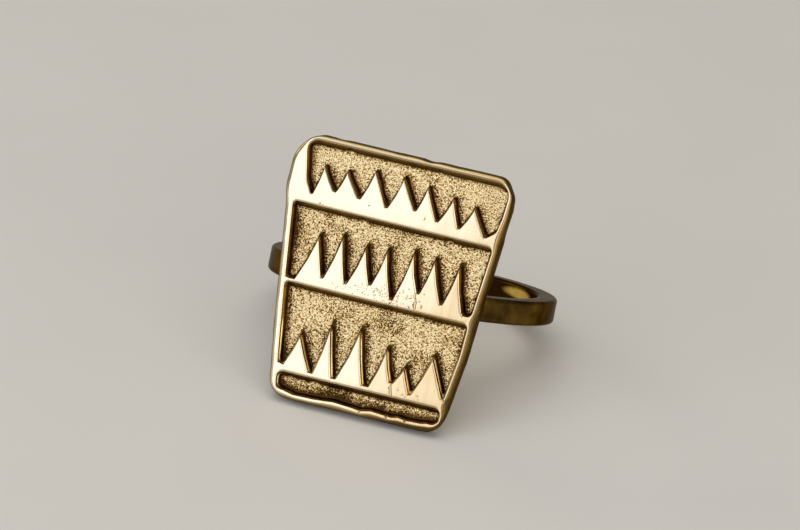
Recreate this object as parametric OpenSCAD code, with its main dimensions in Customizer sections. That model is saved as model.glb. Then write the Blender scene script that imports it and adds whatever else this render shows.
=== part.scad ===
// Brass finger ring with an upright plate: a framed, slightly hand-cut
// trapezoid carrying three rows of raised triangular teeth over a sunk,
// stippled ground, and a plain narrow shank soldered to its back.
// Millimetres, +Z up. The ring rests as it would by itself: on the plate's
// short lower edge and the back of the shank, with the plate leaning back.
// Inside the modules x runs across the plate, y up along it and z out of its
// face; z = 0 is the plate's flat back.

/* [Plate] */
// Thickness of the plate over its frame
plate_thickness = 1.5; // [1.3:0.05:2.2]
// Depth of the sunk ground below the frame
relief_depth = 0.85; // [0.4:0.05:0.9]
// How far a sunk wall runs in from its upper edge
wall_draft = 0.18; // [0.1:0.01:0.29]
// Rounding of the plate's front edge
front_round = 0.22; // [0.1:0.01:0.3]
// Small bevel along the plate's back edge
back_bevel = 0.12; // [0.05:0.01:0.3]

/* [Shank] */
// Inner diameter, the finger size
bore_diameter = 18; // [16:0.1:19.5]
// Thickness of the shank
shank_thickness = 1.5; // [1:0.05:1.8]
// Width of the shank along the finger
shank_width = 1.8; // [1.4:0.1:4]
// Rounding of the shank's four edges
shank_round = 0.25; // [0.1:0.05:0.45]
// Height of the shank's middle on the plate, from the plate's middle
shank_height = -0.57; // [-2:0.01:1]
// How far the shank is sunk into the plate's back
shank_sink = 0.3; // [0.2:0.05:0.5]
// Turn of the shank against the plate's upright, in degrees
shank_turn = 1.5; // [0:0.5:2]

/* [Solder] */
// Half length of the solder seam under the plate
seam_reach = 4.1; // [3.6:0.1:5]
// Depth of the seam's middle under the plate's back
seam_depth = 0.5; // [0.3:0.05:0.6]
// Width left of the shank beside the seam, both sides together
seam_shoulder = 0.3; // [0.2:0.1:0.6]

/* [View] */
// Node to show, or all of them

/* [Hidden] */

// Facets of the shank's circles
SHANK_FACETS = 128;
// Steps round one corner of the plate or of a sunk panel
CORNER_STEPS = 7;
// Steps round one edge of the shank's section
EDGE_STEPS = 4;
// Steps of the plate's rounded front edge
FRONT_STEPS = 3;
// How far a cut runs past the face it opens
PAST = 0.1;
// How far a tooth is rooted below the ground
ROOT = 0.06;
// Share of the seam's half length that is at its full depth
SEAM_LEVEL = 0.76;

// Columns of the corner tables
CX = 0;
CY = 1;
CR = 2;

// Outline of the plate, anticlockwise from the lower left:
// across, height, corner radius
PLATE = [
    [-6.20, -9.39, 1.40],
    [ 6.60, -9.37, 1.40],
    [ 8.18,  9.33, 1.30],
    [-8.10,  9.33, 2.15],
    [-8.03,  5.60, 3.00],
    [-6.97, -3.80, 3.00],
];

// Sunk panel above the first row, widening upwards
PANEL_TOP = [
    [-6.10, 4.92, 0.30],
    [ 6.60, 4.88, 0.30],
    [ 7.28, 5.42, 0.40],
    [ 7.50, 6.50, 1.00],
    [ 7.70, 8.94, 1.00],
    [-7.28, 8.94, 0.75],
    [-6.72, 6.05, 1.00],
];

// Sunk panel of the middle row
PANEL_MIDDLE = [
    [-6.72, -1.04, 0.30],
    [ 6.84, -0.76, 0.40],
    [ 7.32,  4.38, 0.35],
    [-7.36,  4.44, 0.32],
];

// Sunk panel of the lower row
PANEL_LOWER = [
    [-5.98, -6.98, 0.30],
    [-4.60, -7.28, 0.40],
    [ 5.50, -7.28, 0.40],
    [ 6.20, -6.85, 0.30],
    [ 6.66, -3.60, 3.00],
    [ 6.78, -1.25, 0.38],
    [-6.72, -1.22, 0.34],
];

// Long sunk slot under the lower row
SLOT = [
    [-5.75, -8.88, 0.55],
    [ 6.14, -8.86, 0.55],
    [ 6.20, -7.48, 0.50],
    [-5.88, -7.52, 0.45],
];

PANELS = [PANEL_TOP, PANEL_MIDDLE, PANEL_LOWER, SLOT];

// Columns of the tooth tables: valley before the tooth, its tip, the hollow
// of its left and right side, and the level ledge at the foot of its right
// side; the last line of each table holds only the closing valley
VALLEY_X = 0;
VALLEY_Y = 1;
TIP_X = 2;
TIP_Y = 3;
LEFT_BOW = 4;
RIGHT_BOW = 5;
LEDGE = 6;

// First row, seven low broad teeth
ROW_TOP = [
    [-6.12, 4.96, -5.60, 7.14, 0.04, 0.04, 0.06],
    [-4.50, 5.50, -3.92, 7.14, 0.05, 0.02, 0.06],
    [-2.68, 5.42, -1.96, 7.62, 0.06, 0.00, 0.06],
    [-0.66, 5.25,  0.13, 7.58, 0.07, 0.02, 0.06],
    [ 1.40, 5.51,  1.93, 7.35, 0.04, 0.02, 0.06],
    [ 3.06, 5.11,  3.86, 6.95, 0.06, 0.00, 0.06],
    [ 4.66, 4.99,  5.48, 6.66, 0.06, 0.02, 0.05],
    [ 6.55, 4.98],
];

// Middle row, seven slim teeth
ROW_MIDDLE = [
    [-6.04, -0.99, -4.96, 2.15, 0.08, 0.00, 0.13],
    [-4.07, -0.60, -3.26, 2.47, 0.06, 0.04, 0.12],
    [-2.36, -0.62, -1.49, 2.17, 0.08, 0.04, 0.14],
    [-0.60, -0.28,  0.06, 2.28, 0.05, 0.06, 0.16],
    [ 1.11, -0.96,  1.95, 2.54, 0.08, 0.10, 0.10],
    [ 2.88, -0.10,  3.51, 2.41, 0.05, 0.06, 0.12],
    [ 4.64, -0.47,  5.32, 2.30, 0.06, 0.06, 0.10],
    [ 6.22, -0.60],
];

// Lower row, six teeth, the fifth a short one
ROW_LOWER = [
    [-5.50, -6.94, -4.76, -4.89, 0.06, 0.04, 0.32],
    [-3.34, -7.22, -2.73, -3.97, 0.06, 0.03, 0.35],
    [-1.65, -7.22, -0.62, -3.68, 0.10, 0.05, 0.50],
    [ 0.77, -7.20,  1.52, -4.49, 0.08, 0.06, 0.26],
    [ 2.42, -6.55,  3.00, -5.44, 0.03, 0.00, 0.12],
    [ 3.81, -7.14,  4.87, -4.24, 0.06, 0.00, 0.06],
    [ 6.10, -6.78],
];

ROWS = [ROW_TOP, ROW_MIDDLE, ROW_LOWER];

// Height on the plate where the teeth of each row are rooted in their bar
ROW_FEET = [4.70, -1.12, -7.38];

// Shank sizes that follow
bore_radius = bore_diameter / 2;
shank_radius = bore_radius + shank_thickness;
shank_centre = shank_sink - shank_radius;

// Middle of the rounded lower edge at the back of the shank, which is the
// one that touches the floor
back_y = shank_height - shank_width / 2 + shank_round;
back_z = shank_centre - shank_radius + shank_round;

// Lower edge of the plate that touches the floor
foot_y = min([for (c = PLATE) c[CY]]);
foot_z = back_bevel;

// Lean of the plate: the line through its foot that is tangent to the shank
reach_y = back_y - foot_y;
reach_z = foot_z - back_z;
lean = atan2(reach_y, reach_z) - asin(shank_round / norm([reach_y, reach_z]));

// Height of the plate's middle over the floor
rise = -foot_y * cos(lean) - foot_z * sin(lean);

// Insets and heights of the plate's levels, from its back to its front
PLATE_LEVELS = concat(
    [[back_bevel, 0], [0, back_bevel]],
    [for (k = [0 : FRONT_STEPS])
        let (a = 90 * k / FRONT_STEPS)
        [front_round * (1 - cos(a)), plate_thickness - front_round * (1 - sin(a))]]
);

// Ends of the ring from front to back, to set it over the middle
front_end = min([for (l = PLATE_LEVELS) (foot_y + l[0]) * sin(lean) - l[1] * cos(lean)]);
back_end = (shank_height + shank_width / 2 - shank_round) * sin(lean)
    - back_z * cos(lean) + shank_round;
middle = (front_end + back_end) / 2;

// Direction of the side that leads from corner i to the next one
function heading(c, i) =
    let (p = c[i % len(c)], q = c[(i + 1) % len(c)])
    atan2(q[CY] - p[CY], q[CX] - p[CX]);

// Angle between 0 and 360 degrees
function wrapped(a) = a - 360 * floor(a / 360);

// Point at an angle and a distance from the origin
function polar(r, a) = [r * cos(a), r * sin(a)];

// Closed outline of a convex corner table, moved inwards by inset
function outline(c, inset) = [
    for (i = [0 : len(c) - 1])
        let (
            start = heading(c, i + len(c) - 1) - 90,
            turn = wrapped(heading(c, i) - 90 - start),
            corner = [c[i][CX], c[i][CY]],
            centre = corner - polar(c[i][CR] / cos(turn / 2), start + turn / 2)
        )
        for (k = [0 : CORNER_STEPS])
            centre + polar(c[i][CR] - inset, start + turn * k / CORNER_STEPS)
];

// Solid between the outlines of a corner table at several levels, each an
// inset and a height
module layered(c, levels) {
    n = len(outline(c, 0));
    points = [for (l = levels) for (p = outline(c, l[0])) [p[0], p[1], l[1]]];
    last = (len(levels) - 1) * n;
    sides = [for (j = [0 : len(levels) - 2]) for (i = [0 : n - 1])
        let (a = j * n + i, b = j * n + (i + 1) % n)
        [a, a + n, b + n, b]];
    lower = [for (i = [0 : n - 1]) i];
    upper = [for (i = [n - 1 : -1 : 0]) last + i];
    polyhedron(points = points, faces = concat([lower, upper], sides));
}

// Solid taken away for a sunk panel, with walls that run in as they go down
module panel_cut(c) {
    run = wall_draft / relief_depth;
    layered(c, [
        [wall_draft, plate_thickness - relief_depth],
        [-PAST * run, plate_thickness + PAST],
    ]);
}

// Flat plate with a rounded front edge and its sunk panels
module plate_body() {
    difference() {
        layered(PLATE, PLATE_LEVELS);
        for (c = PANELS) {
            panel_cut(c);
        }
    }
}

// One raised tooth with sloping sides; its tip runs down to the ground
module tooth(row, next, foot) {
    left = [row[VALLEY_X], row[VALLEY_Y]];
    right = [next[VALLEY_X], next[VALLEY_Y]];
    ledge = right - [row[LEDGE], 0];
    tip = [row[TIP_X], row[TIP_Y]];
    left_waist = (left + tip) / 2 + [row[LEFT_BOW], 0];
    right_waist = (ledge + tip) / 2 - [row[RIGHT_BOW], 0];

    drop = relief_depth + ROOT;
    run = wall_draft * drop / relief_depth;
    left_lean = (tip.x - left_waist.x) / (tip.y - left_waist.y);
    right_lean = (right_waist.x - tip.x) / (tip.y - right_waist.y);
    left_run = run * norm([1, left_lean]);
    right_run = run * norm([1, right_lean]);
    tip_run = (left_run + right_run) / (left_lean + right_lean);

    // Outline of the flat top, then how far each of its points moves
    // outwards on the way down
    flat = [
        [left.x, foot], left, left_waist, tip, right_waist,
        ledge, right, [right.x, foot], [ledge.x, foot],
    ];
    to_left = [-left_run, 0];
    to_right = [right_run, 0];
    to_tip = [tip_run * left_lean - left_run, tip_run];
    moves = [
        to_left, to_left, to_left, to_tip, to_right,
        to_right, to_right, to_right, to_right,
    ];
    n = len(flat);
    points = concat(
        [for (i = [0 : n - 1]) concat(flat[i] + moves[i], plate_thickness - drop)],
        [for (i = [0 : n - 1]) concat(flat[i], plate_thickness)]
    );
    under = [[0, 8, 5, 1], [8, 7, 6, 5], [1, 5, 4, 2], [2, 4, 3]];
    over = [for (b = under) [for (i = [len(b) - 1 : -1 : 0]) b[i] + n]];
    sides = [for (i = [0 : n - 1])
        let (j = (i + 1) % n)
        [i, j, j + n, i + n]];
    polyhedron(points = points, faces = concat(under, over, sides));
}

// The three rows of teeth
module teeth() {
    for (r = [0 : len(ROWS) - 1]) {
        for (i = [0 : len(ROWS[r]) - 2]) {
            tooth(ROWS[r][i], ROWS[r][i + 1], ROW_FEET[r]);
        }
    }
}

// Section of the shank: radius outwards, width upwards, edges rounded
function shank_section() =
    let (
        half = shank_width / 2 - shank_round,
        inner = bore_radius + shank_round,
        outer = shank_radius - shank_round,
        corners = [[outer, -half, -90], [outer, half, 0], [inner, half, 90], [inner, -half, 180]]
    )
    [for (c = corners) for (k = [0 : EDGE_STEPS])
        [c[0], c[1]] + polar(shank_round, c[2] + 90 * k / EDGE_STEPS)];

// Shank as a full round band about the finger's axis
module shank_band() {
    rotate_extrude($fn = SHANK_FACETS) {
        polygon(shank_section());
    }
}

// Solder that fills the gap between the plate's back and the shank
module solder_seam() {
    width = shank_width - seam_shoulder;
    inner = seam_reach * SEAM_LEVEL;
    depth = min(seam_depth, shank_thickness - shank_sink - PAST);
    translate([0, width / 2, 0]) {
        rotate([90, 0, 0]) {
            linear_extrude(height = width) {
                polygon([
                    [-seam_reach, shank_sink / 2],
                    [-seam_reach, 0],
                    [-inner, -depth],
                    [inner, -depth],
                    [seam_reach, 0],
                    [seam_reach, shank_sink / 2],
                ]);
            }
        }
    }
}

// Shank and its seam, set on the plate's back
module shank() {
    translate([0, shank_height, 0]) {
        rotate([0, 0, shank_turn]) {
            translate([0, 0, shank_centre]) {
                rotate([-90, 0, 0]) {
                    shank_band();
                }
            }
            solder_seam();
        }
    }
}

// The whole ring is one piece of soldered brass, leaning as it rests
module ring() {
    color([0.80, 0.62, 0.30]) {
        translate([0, -middle, rise]) {
            rotate([90 - lean, 0, 0]) {
                plate_body();
                teeth();
                shank();
            }
        }
    }
}

union() {
    ring();
}
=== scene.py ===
"""Brass finger ring with an upright plate: a cut trapezoid with three rows of
raised triangular teeth over a stippled ground, and a plain shank soldered to
its back. The plate is worked out in its own frame, in millimetres: x across,
y up along it, z out of its face, with z = 0 on its flat back. It is then
leaned back into the row frame, in metres, as it rests on the floor."""

import math
from types import SimpleNamespace

import bmesh
import bpy
import numpy as np
from mathutils import Matrix, Vector, noise
from mathutils.geometry import delaunay_2d_cdt
from mathutils.kdtree import KDTree


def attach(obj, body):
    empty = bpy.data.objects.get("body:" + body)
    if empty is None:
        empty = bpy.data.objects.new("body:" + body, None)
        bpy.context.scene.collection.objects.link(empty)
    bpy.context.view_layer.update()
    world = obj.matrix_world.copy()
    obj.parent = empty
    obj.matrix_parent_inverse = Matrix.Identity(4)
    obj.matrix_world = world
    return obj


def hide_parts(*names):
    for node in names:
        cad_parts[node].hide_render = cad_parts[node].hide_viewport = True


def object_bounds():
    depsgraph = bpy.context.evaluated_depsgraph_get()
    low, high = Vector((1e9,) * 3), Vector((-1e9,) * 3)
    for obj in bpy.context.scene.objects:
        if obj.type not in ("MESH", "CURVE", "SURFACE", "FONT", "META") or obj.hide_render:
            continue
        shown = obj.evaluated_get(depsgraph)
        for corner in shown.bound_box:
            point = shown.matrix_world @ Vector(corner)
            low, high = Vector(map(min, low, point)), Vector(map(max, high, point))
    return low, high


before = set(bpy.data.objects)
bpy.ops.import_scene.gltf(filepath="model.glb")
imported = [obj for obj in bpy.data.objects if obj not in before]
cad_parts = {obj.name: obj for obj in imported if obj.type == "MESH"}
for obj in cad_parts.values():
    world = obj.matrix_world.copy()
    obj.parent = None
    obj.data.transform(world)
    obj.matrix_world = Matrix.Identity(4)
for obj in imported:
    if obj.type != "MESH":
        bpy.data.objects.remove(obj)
cad_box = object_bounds()

MM = 0.001

# The solid plate: lowest point, levels and the roundings of its edges
PLATE_FOOT = -9.39
FACE_LEVEL = 1.5
GROUND_LEVEL = 0.65
CAD_ROUNDING = 0.22
CAD_ROUNDING_STEPS = 3
BACK_BEVEL = 0.12

# The shank and its place on the plate
BORE_RADIUS = 9.0
SHANK_THICKNESS = 1.5
SHANK_WIDTH = 1.8
SHANK_ROUNDING = 0.25
SHANK_HEIGHT = -0.57
SHANK_SINK = 0.3
SHANK_TURN = math.radians(1.5)
SHANK_RADIUS = BORE_RADIUS + SHANK_THICKNESS
SHANK_CENTRE = SHANK_SINK - SHANK_RADIUS

# The ring rests on the plate's lower back edge and on the rounded lower edge
# at the back of the shank. It leans as the line that runs through the one and
# touches the round of the other.
REST_HEIGHT = SHANK_HEIGHT - SHANK_WIDTH / 2 + SHANK_ROUNDING
REST_LEVEL = SHANK_CENTRE - SHANK_RADIUS + SHANK_ROUNDING
REST_REACH = (REST_HEIGHT - PLATE_FOOT, BACK_BEVEL - REST_LEVEL)
LEAN = math.atan2(*REST_REACH) - math.asin(SHANK_ROUNDING / math.hypot(*REST_REACH))
LEAN_SIN, LEAN_COS = math.sin(LEAN), math.cos(LEAN)
FACE_WAY = (0.0, -LEAN_COS, LEAN_SIN)

# Height of the plate's middle over the floor, and its shift toward the front,
# which sets the whole ring over the frame's middle
RISE = -PLATE_FOOT * LEAN_COS - BACK_BEVEL * LEAN_SIN
FRONT_END = min(
    (PLATE_FOOT + CAD_ROUNDING * (1 - math.cos(a))) * LEAN_SIN
    - (FACE_LEVEL - CAD_ROUNDING * (1 - math.sin(a))) * LEAN_COS
    for a in np.linspace(0, math.pi / 2, CAD_ROUNDING_STEPS + 1)
)
UPPER_HEIGHT = SHANK_HEIGHT + SHANK_WIDTH / 2 - SHANK_ROUNDING
BACK_END = UPPER_HEIGHT * LEAN_SIN - REST_LEVEL * LEAN_COS + SHANK_ROUNDING
MIDDLE = (FRONT_END + BACK_END) / 2

# Distances between the points of outlines and surfaces
OUTLINE_STEP = 0.06
RIM_STEP = 0.1
GROUND_STEP = 0.066
WALL_STEP = 0.06
FACE_STEP = 0.28
BACK_STEP = 0.5
CREASE_STEP = 0.04

# Rows of points beside the edges of the panels, and down the walls as shares
SHOULDER_ROWS = (0.035, 0.09, 0.2)
WALL_ROWS = (0.08, 0.24, 0.55, 0.72)

# Rows of points on the rounded edge in degrees from the side, down the side
# as shares, and on the flat back past its bevel
EDGE_TURNS = (75, 60, 45, 30, 15, 0)
SIDE_ROWS = (0.3, 0.6, 0.85, 1.0)
BACK_ROWS = (0, 0.06, 0.25)

# Softening of the outlines, as casting and polishing leave it: tips of the
# teeth, valleys and how far from their ends, feet of the walls, and the rim
# before and after it is filed
TIP_SOFTENING = 0.045
VALLEY_SOFTENING, VALLEY_REACH = 0.17, (0.2, 0.5)
SHARP_TURN = 1.4
FOOT_SOFTENING = 0.08
RIM_SOFTENING = (0.12, 0.10)

# Heights over which the work passes from one row into the next: none, full
TOP_RIM = (8.0, 8.5)
TOP_ROW = (4.0, 5.0)
LOWER_ROWS = (-0.5, -2.5)
FOOT_ROW = (-3.2, -4.2)
SLOT = (-8.1, -8.4)
SLOT_MIDDLE = -8.3
SLOT_WAVES = (SLOT_MIDDLE, -8.7)
SLOT_PANEL_BELOW = -7.0
SLOT_DARK_BELOW = -8.2

# Lower edge of the slot, filed by hand: across, height
SLOT_EDGE = [
    (-5.19, -8.83), (-4.41, -9.00), (-2.94, -8.97), (-1.49, -8.83),
    (0.00, -8.91), (0.46, -8.98), (1.30, -8.81), (2.80, -8.91),
    (3.29, -8.79), (3.82, -8.88), (4.91, -8.83), (5.32, -8.73),
]
SLOT_EDGE_LEVEL = -8.87

# Where hand filing took the plate's rim off its plain outline: across,
# height, shift across, shift up, reach
RIM_SHIFTS = [
    (6.55, -8.45, -0.18, 0.16, 0.85), (6.80, -7.10, -0.14, 0.00, 0.90),
    (7.00, -5.60, -0.09, 0.00, 0.90), (8.10, 7.70, -0.10, 0.00, 0.70),
    (7.80, 8.75, -0.20, -0.18, 0.80), (3.50, 9.33, 0.00, -0.06, 0.90),
    (1.63, 9.33, 0.00, -0.15, 0.60), (-0.50, 9.33, 0.00, -0.05, 0.80),
    (-7.30, 8.50, 0.07, -0.05, 0.80), (-8.00, 5.10, -0.12, 0.00, 1.10),
]
# Lowest and highest point that the filed rim keeps
RIM_ENDS = (-9.385, 9.285)

# Rounding that the file added to the rim: way that the edge looks, across and
# up, and how much there. It rounded the foot most.
FILED_ROUNDING = [(0, -1, 0.26), (-1, 0, 0.16), (1, 0, 0.20), (0, 1, 0.16)]
UNEVEN_ROUNDING = 0.10
# Flat land that stays between the rounding and a panel
LEAST_LAND = 0.13
# How deep filing took the sides in: everywhere, and further where they wander
SIDE_FILED = (0.015, 0.09)
# Painted light: how much further round the left edge keeps its polished tone, as a share
LEFT_EDGE_PAINTED_LIGHT = 0.35

# Furthest that the foot of a wall stands off its upper edge, for the three
# rows of teeth: lowest height on the plate, distance beside a tooth, distance
# above a tip
FOOT_REACH = [(4.7, 0.16, 0.22), (-1.2, 0.18, 0.42), (-10.0, 0.27, 0.60)]
SLOT_REACH = 0.2
UNDER_BAR_REACH = 0.42
UNDER_BAR_SHIFT = 0.17

# Drop of a panel's shoulder, of the bars' worn lower edges and of the fillet
# at the foot of a wall, each with its reach; and the crown of the face, as
# its fall for each square millimetre across and up
SHOULDER, SHOULDER_REACH = 0.035, 0.07
WORN_EDGE, WORN_EDGE_REACH = 0.015, 0.3
FILLET, FILLET_REACH = 0.05, 0.14
CROWN = (0.0011, 0.0005)
# Shape of a pared wall: share of its breadth, share of its depth
PARED_WALL = [(0.0, 0.0), (0.08, 0.31), (0.70, 0.37), (1.0, 1.0)]

# Small round hollows in the polished face: across, height, radius, depth
PITS = [
    (-7.85, 5.44, 0.06, 0.07), (-5.37, 4.58, 0.035, 0.03),
    (-5.16, 4.55, 0.025, 0.02), (-1.88, 5.25, 0.03, 0.03),
    (2.19, 5.27, 0.03, 0.03), (-2.13, 9.17, 0.06, 0.06),
]

# Nicks, fine cracks and creases: start, end (each across and height), half
# width, depth
CREASES = [
    (2.64, -0.01, 2.84, -0.61, 0.028, 0.035),
    (2.84, -0.61, 2.85, -1.11, 0.028, 0.030),
    (2.31, -6.57, 2.56, -7.50, 0.028, 0.035),
    (1.11, -0.96, 1.05, -1.12, 0.025, 0.020),
    (6.15, -6.72, 6.36, -7.23, 0.035, 0.040),
    (0.48, -8.90, 0.56, -9.04, 0.045, 0.070),
    (2.42, -8.86, 2.50, -9.02, 0.045, 0.070),
    (3.80, -8.84, 3.88, -8.98, 0.040, 0.060),
]

# Casting pores that the polishing opened: middle across and height, half
# length, half height, slope, count; and their least and greatest radius
PORE_FIELDS = [
    (-2.9, -0.75, 1.5, 0.30, 0.0, 14), (0.8, -0.60, 2.5, 0.80, 0.0, 130),
    (3.6, -7.05, 0.9, 0.25, 0.0, 6),
]
PORE_RADII = (0.018, 0.040)
# Rings of points round a hollow in its radii, and rows of points along a
# crease in its half widths
HOLLOW_RINGS = (0.8, 1.8)
CREASE_ROWS = (-1.9, -0.9, 0, 0.9, 1.9)

# The solder at its foot: half length, half width, and the squareness of its
# ends, 1 for an ellipse and less toward a rectangle
SOLDER_LENGTH = 4.15
SOLDER_WIDTH = 0.80
SOLDER_SQUARENESS = 2 / 5
# Points round the solder and levels up it; how far it spreads toward the
# plate, draws in half way up, and varies as a share: each along and across
SOLDER_STEPS = (120, 11)
SOLDER_SPREAD = (0.2, 0.14)
SOLDER_HOLLOW = (0.35, 0.07)
SOLDER_UNEVEN = (0.02, 0.09)

# Soft boxes round the ring: name, azimuth from the front and elevation in
# degrees, distance, width and height in metres, power, colour
SOFT_BOXES = [
    ("front_left_box", -27, 21, 0.6, 0.50, 0.46, 1.02, "#e9efff"),
    ("right_box", 39, 14, 0.6, 0.62, 0.44, 1.25, "#fff5e8"),
    ("overhead_box", -20, 76, 0.7, 0.60, 0.78, 2.10, "#fffaf2"),
    ("low_rear_box", -107, 13, 0.6, 0.30, 0.20, 0.50, "#fff3dc"),
]
RING_MIDDLE = (0, 0, 0.009)
FLOOR_WIDTH = 1.2
SURROUND = ("#c8c6c2", 0.42)

# The photo's camera in the plate's frame: angles from the face's normal and
# roll in degrees, the point that it looks at and its distance in millimetres,
# its focal length and the picture's width in pixels, and its sensor's width
CAMERA_ACROSS, CAMERA_UP, CAMERA_ROLL = 11.34, 5.88, 12.39
CAMERA_AIM = (0.85, 1.56, 0)
CAMERA_DISTANCE = 350
FOCAL_PIXELS, PICTURE_PIXELS = 4990, 800
SENSOR_WIDTH = 36

# Width of a bump in a noise, in steps of its pattern
BUMP_STEPS = 1.575

# Fronts of the names of node kinds, and the setting of a range with soft ends
NODE_FAMILIES = ("ShaderNode", "GeometryNode", "")
SOFT_ENDS = {"interpolation_type": "SMOOTHSTEP"}


def linear(hex_colour):
    """An sRGB hex colour as the linear colour that a socket takes."""
    parts = [int(hex_colour[i : i + 2], 16) / 255 for i in (1, 3, 5)]
    return (*[c / 12.92 if c <= 0.04045 else ((c + 0.055) / 1.055) ** 2.4 for c in parts], 1.0)


def socket_in_use(sockets, key=None):
    """The socket of a number or a name, or else the first, of those in use."""
    if isinstance(key, int):
        return sockets[key]
    return next(s for s in sockets if s.enabled and key in (None, s.name))


def put(tree, kind, wires=None, **settings):
    """Adds one node, its kind named without its family. Settings are its own
    properties. Wires give an input, by name or number, a value, a hex colour,
    another node's output, or a node, which stands for its first output in use."""
    family = next(f for f in NODE_FAMILIES if hasattr(bpy.types, f + kind))
    made = tree.nodes.new(family + kind)
    for name, value in settings.items():
        setattr(made, name, value)
    for name, value in (wires or {}).items():
        taken = socket_in_use(made.inputs, name)
        if isinstance(value, bpy.types.Node):
            value = socket_in_use(value.outputs)
        if isinstance(value, bpy.types.NodeSocket):
            tree.links.new(value, taken)
        elif isinstance(value, str) and value.startswith("#"):
            taken.default_value = linear(value)
        else:
            taken.default_value = value
    return made


def to_row(points):
    """Points of the plate's frame in millimetres as row-frame metres."""
    x, y, z = np.asarray(points, float).T
    back = y * LEAN_SIN - z * LEAN_COS - MIDDLE
    return np.column_stack([x, back, y * LEAN_COS + z * LEAN_SIN + RISE]) * MM


def to_plate(points):
    """Row-frame metres as points of the plate's frame in millimetres."""
    x, y, z = np.asarray(points, float).T / MM
    y, z = y + MIDDLE, z - RISE
    return np.column_stack([x, y * LEAN_SIN + z * LEAN_COS, z * LEAN_SIN - y * LEAN_COS])


def smooth(x, none, full):
    """0 up to one value, 1 from the other on, and a soft step between them."""
    t = np.clip((x - none) / (full - none), 0, 1)
    return t * t * (3 - 2 * t)


def bell(x, reach):
    """1 at zero and a soft fall to both sides."""
    return np.exp(-((x / reach) ** 2))


def fade(x, reach):
    """1 at zero and a straight fall to 0 at the reach."""
    return np.clip(1 - x / reach, 0, 1)


def uneven(x, y, z):
    """Smooth noise between -1 and 1 at each of many points."""
    return np.array([noise.noise(p) for p in np.broadcast(x, y, z)])


# outlines

def area(loop):
    """Signed area of a closed outline, positive anticlockwise."""
    after = np.roll(loop, -1, 0)
    return 0.5 * np.sum(loop[:, 0] * after[:, 1] - after[:, 0] * loop[:, 1])


def level_outlines(points, faces, level):
    """Closed outlines of the flat faces that look forward at one level."""
    flat = np.abs(points[:, 2] - level) < 0.004
    uses = {}
    for face in faces:
        if all(flat[i] for i in face):
            uses.update(dict.fromkeys(zip(face, face[1:] + face[:1])))
    after = {a: b for a, b in uses if (b, a) not in uses}
    loops = []
    while after:
        walk, at = [], next(iter(after))
        while at in after:
            walk.append(at)
            at = after.pop(at)
        loops.append(points[walk, :2])
    return [c if area(c) > 0 else c[::-1] for c in loops if len(c) > 3]


def resampled(loop, step):
    """The same closed outline with points at equal distances."""
    closed = np.vstack([loop, loop[:1]])
    at = np.concatenate([[0], np.cumsum(np.hypot(*np.diff(closed, axis=0).T))])
    count = max(12, round(at[-1] / step))
    t = np.arange(count) * at[-1] / count
    return np.column_stack([np.interp(t, at, closed[:, k]) for k in (0, 1)])


def softened(loop, reach):
    """A closed outline of equal steps with its corners rounded off."""
    step = np.hypot(*(loop[1] - loop[0]))
    far = int(3 * reach / step) + 1
    offsets = np.arange(-far, far + 1)
    weights = np.exp(-0.5 * (offsets * step / reach) ** 2)
    weights /= weights.sum()
    return sum(w * np.roll(loop, k, 0) for w, k in zip(weights, offsets))


def outward(loop):
    """Unit normals that point out of an anticlockwise outline."""
    along = np.roll(loop, -1, 0) - np.roll(loop, 1, 0)
    along /= np.hypot(*along.T)[:, None]
    return np.column_stack([along[:, 1], -along[:, 0]])


def nearest(places, points):
    """Distance of each point to the nearest place, and that place's number."""
    tree = KDTree(len(places))
    for i, (x, y) in enumerate(places):
        tree.insert((x, y, 0.0), i)
    tree.balance()
    found = [tree.find((x, y, 0.0)) for x, y in points]
    return np.array([f[2] for f in found]), np.array([f[1] for f in found])


def clear_of(places, points, gap):
    """Those of the points that lie further than a gap from all the places."""
    away, _ = nearest(places, points)
    return points[away > gap]


def edge_ends(loops):
    """The points of closed outlines, and the point that follows each."""
    return np.vstack(loops), np.vstack([np.roll(c, -1, 0) for c in loops])


def filled(loops, step, clear):
    """Points of a triangular pattern inside closed outlines, by even and odd
    crossings, that keep clear of the outlines."""
    a, b = edge_ends(loops)
    rows = []
    height = step * math.sqrt(3) / 2
    low, high = a[:, 1].min(), a[:, 1].max()
    for k in range(int((high - low) / height) + 1):
        y = low + (k + 0.5) * height
        cut = (a[:, 1] <= y) != (b[:, 1] <= y)
        p, q = a[cut], b[cut]
        xs = np.sort(p[:, 0] + (y - p[:, 1]) * (q[:, 0] - p[:, 0]) / (q[:, 1] - p[:, 1]))
        for x0, x1 in zip(xs[::2], xs[1::2]):
            first = math.ceil(x0 / step - 0.5 * (k % 2))
            last = math.floor(x1 / step - 0.5 * (k % 2))
            x = (np.arange(first, last + 1) + 0.5 * (k % 2)) * step
            rows.append(np.column_stack([x, np.full(len(x), y)]))
    return clear_of(a, np.vstack(rows), clear)


def inside(points, loops):
    """True for each point inside closed outlines, by even and odd."""
    a, b = edge_ends(loops)
    odd = np.zeros(len(points), bool)
    for i in range(0, len(points), 2000):
        x, y = points[i : i + 2000, 0, None], points[i : i + 2000, 1, None]
        cut = (a[:, 1] <= y) != (b[:, 1] <= y)
        with np.errstate(divide="ignore", invalid="ignore"):
            at = a[:, 0] + (y - a[:, 1]) * (b[:, 0] - a[:, 0]) / (b[:, 1] - a[:, 1])
        odd[i : i + 2000] = (cut & (at < x)).sum(1) % 2 == 1
    return odd


# plate

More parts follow.
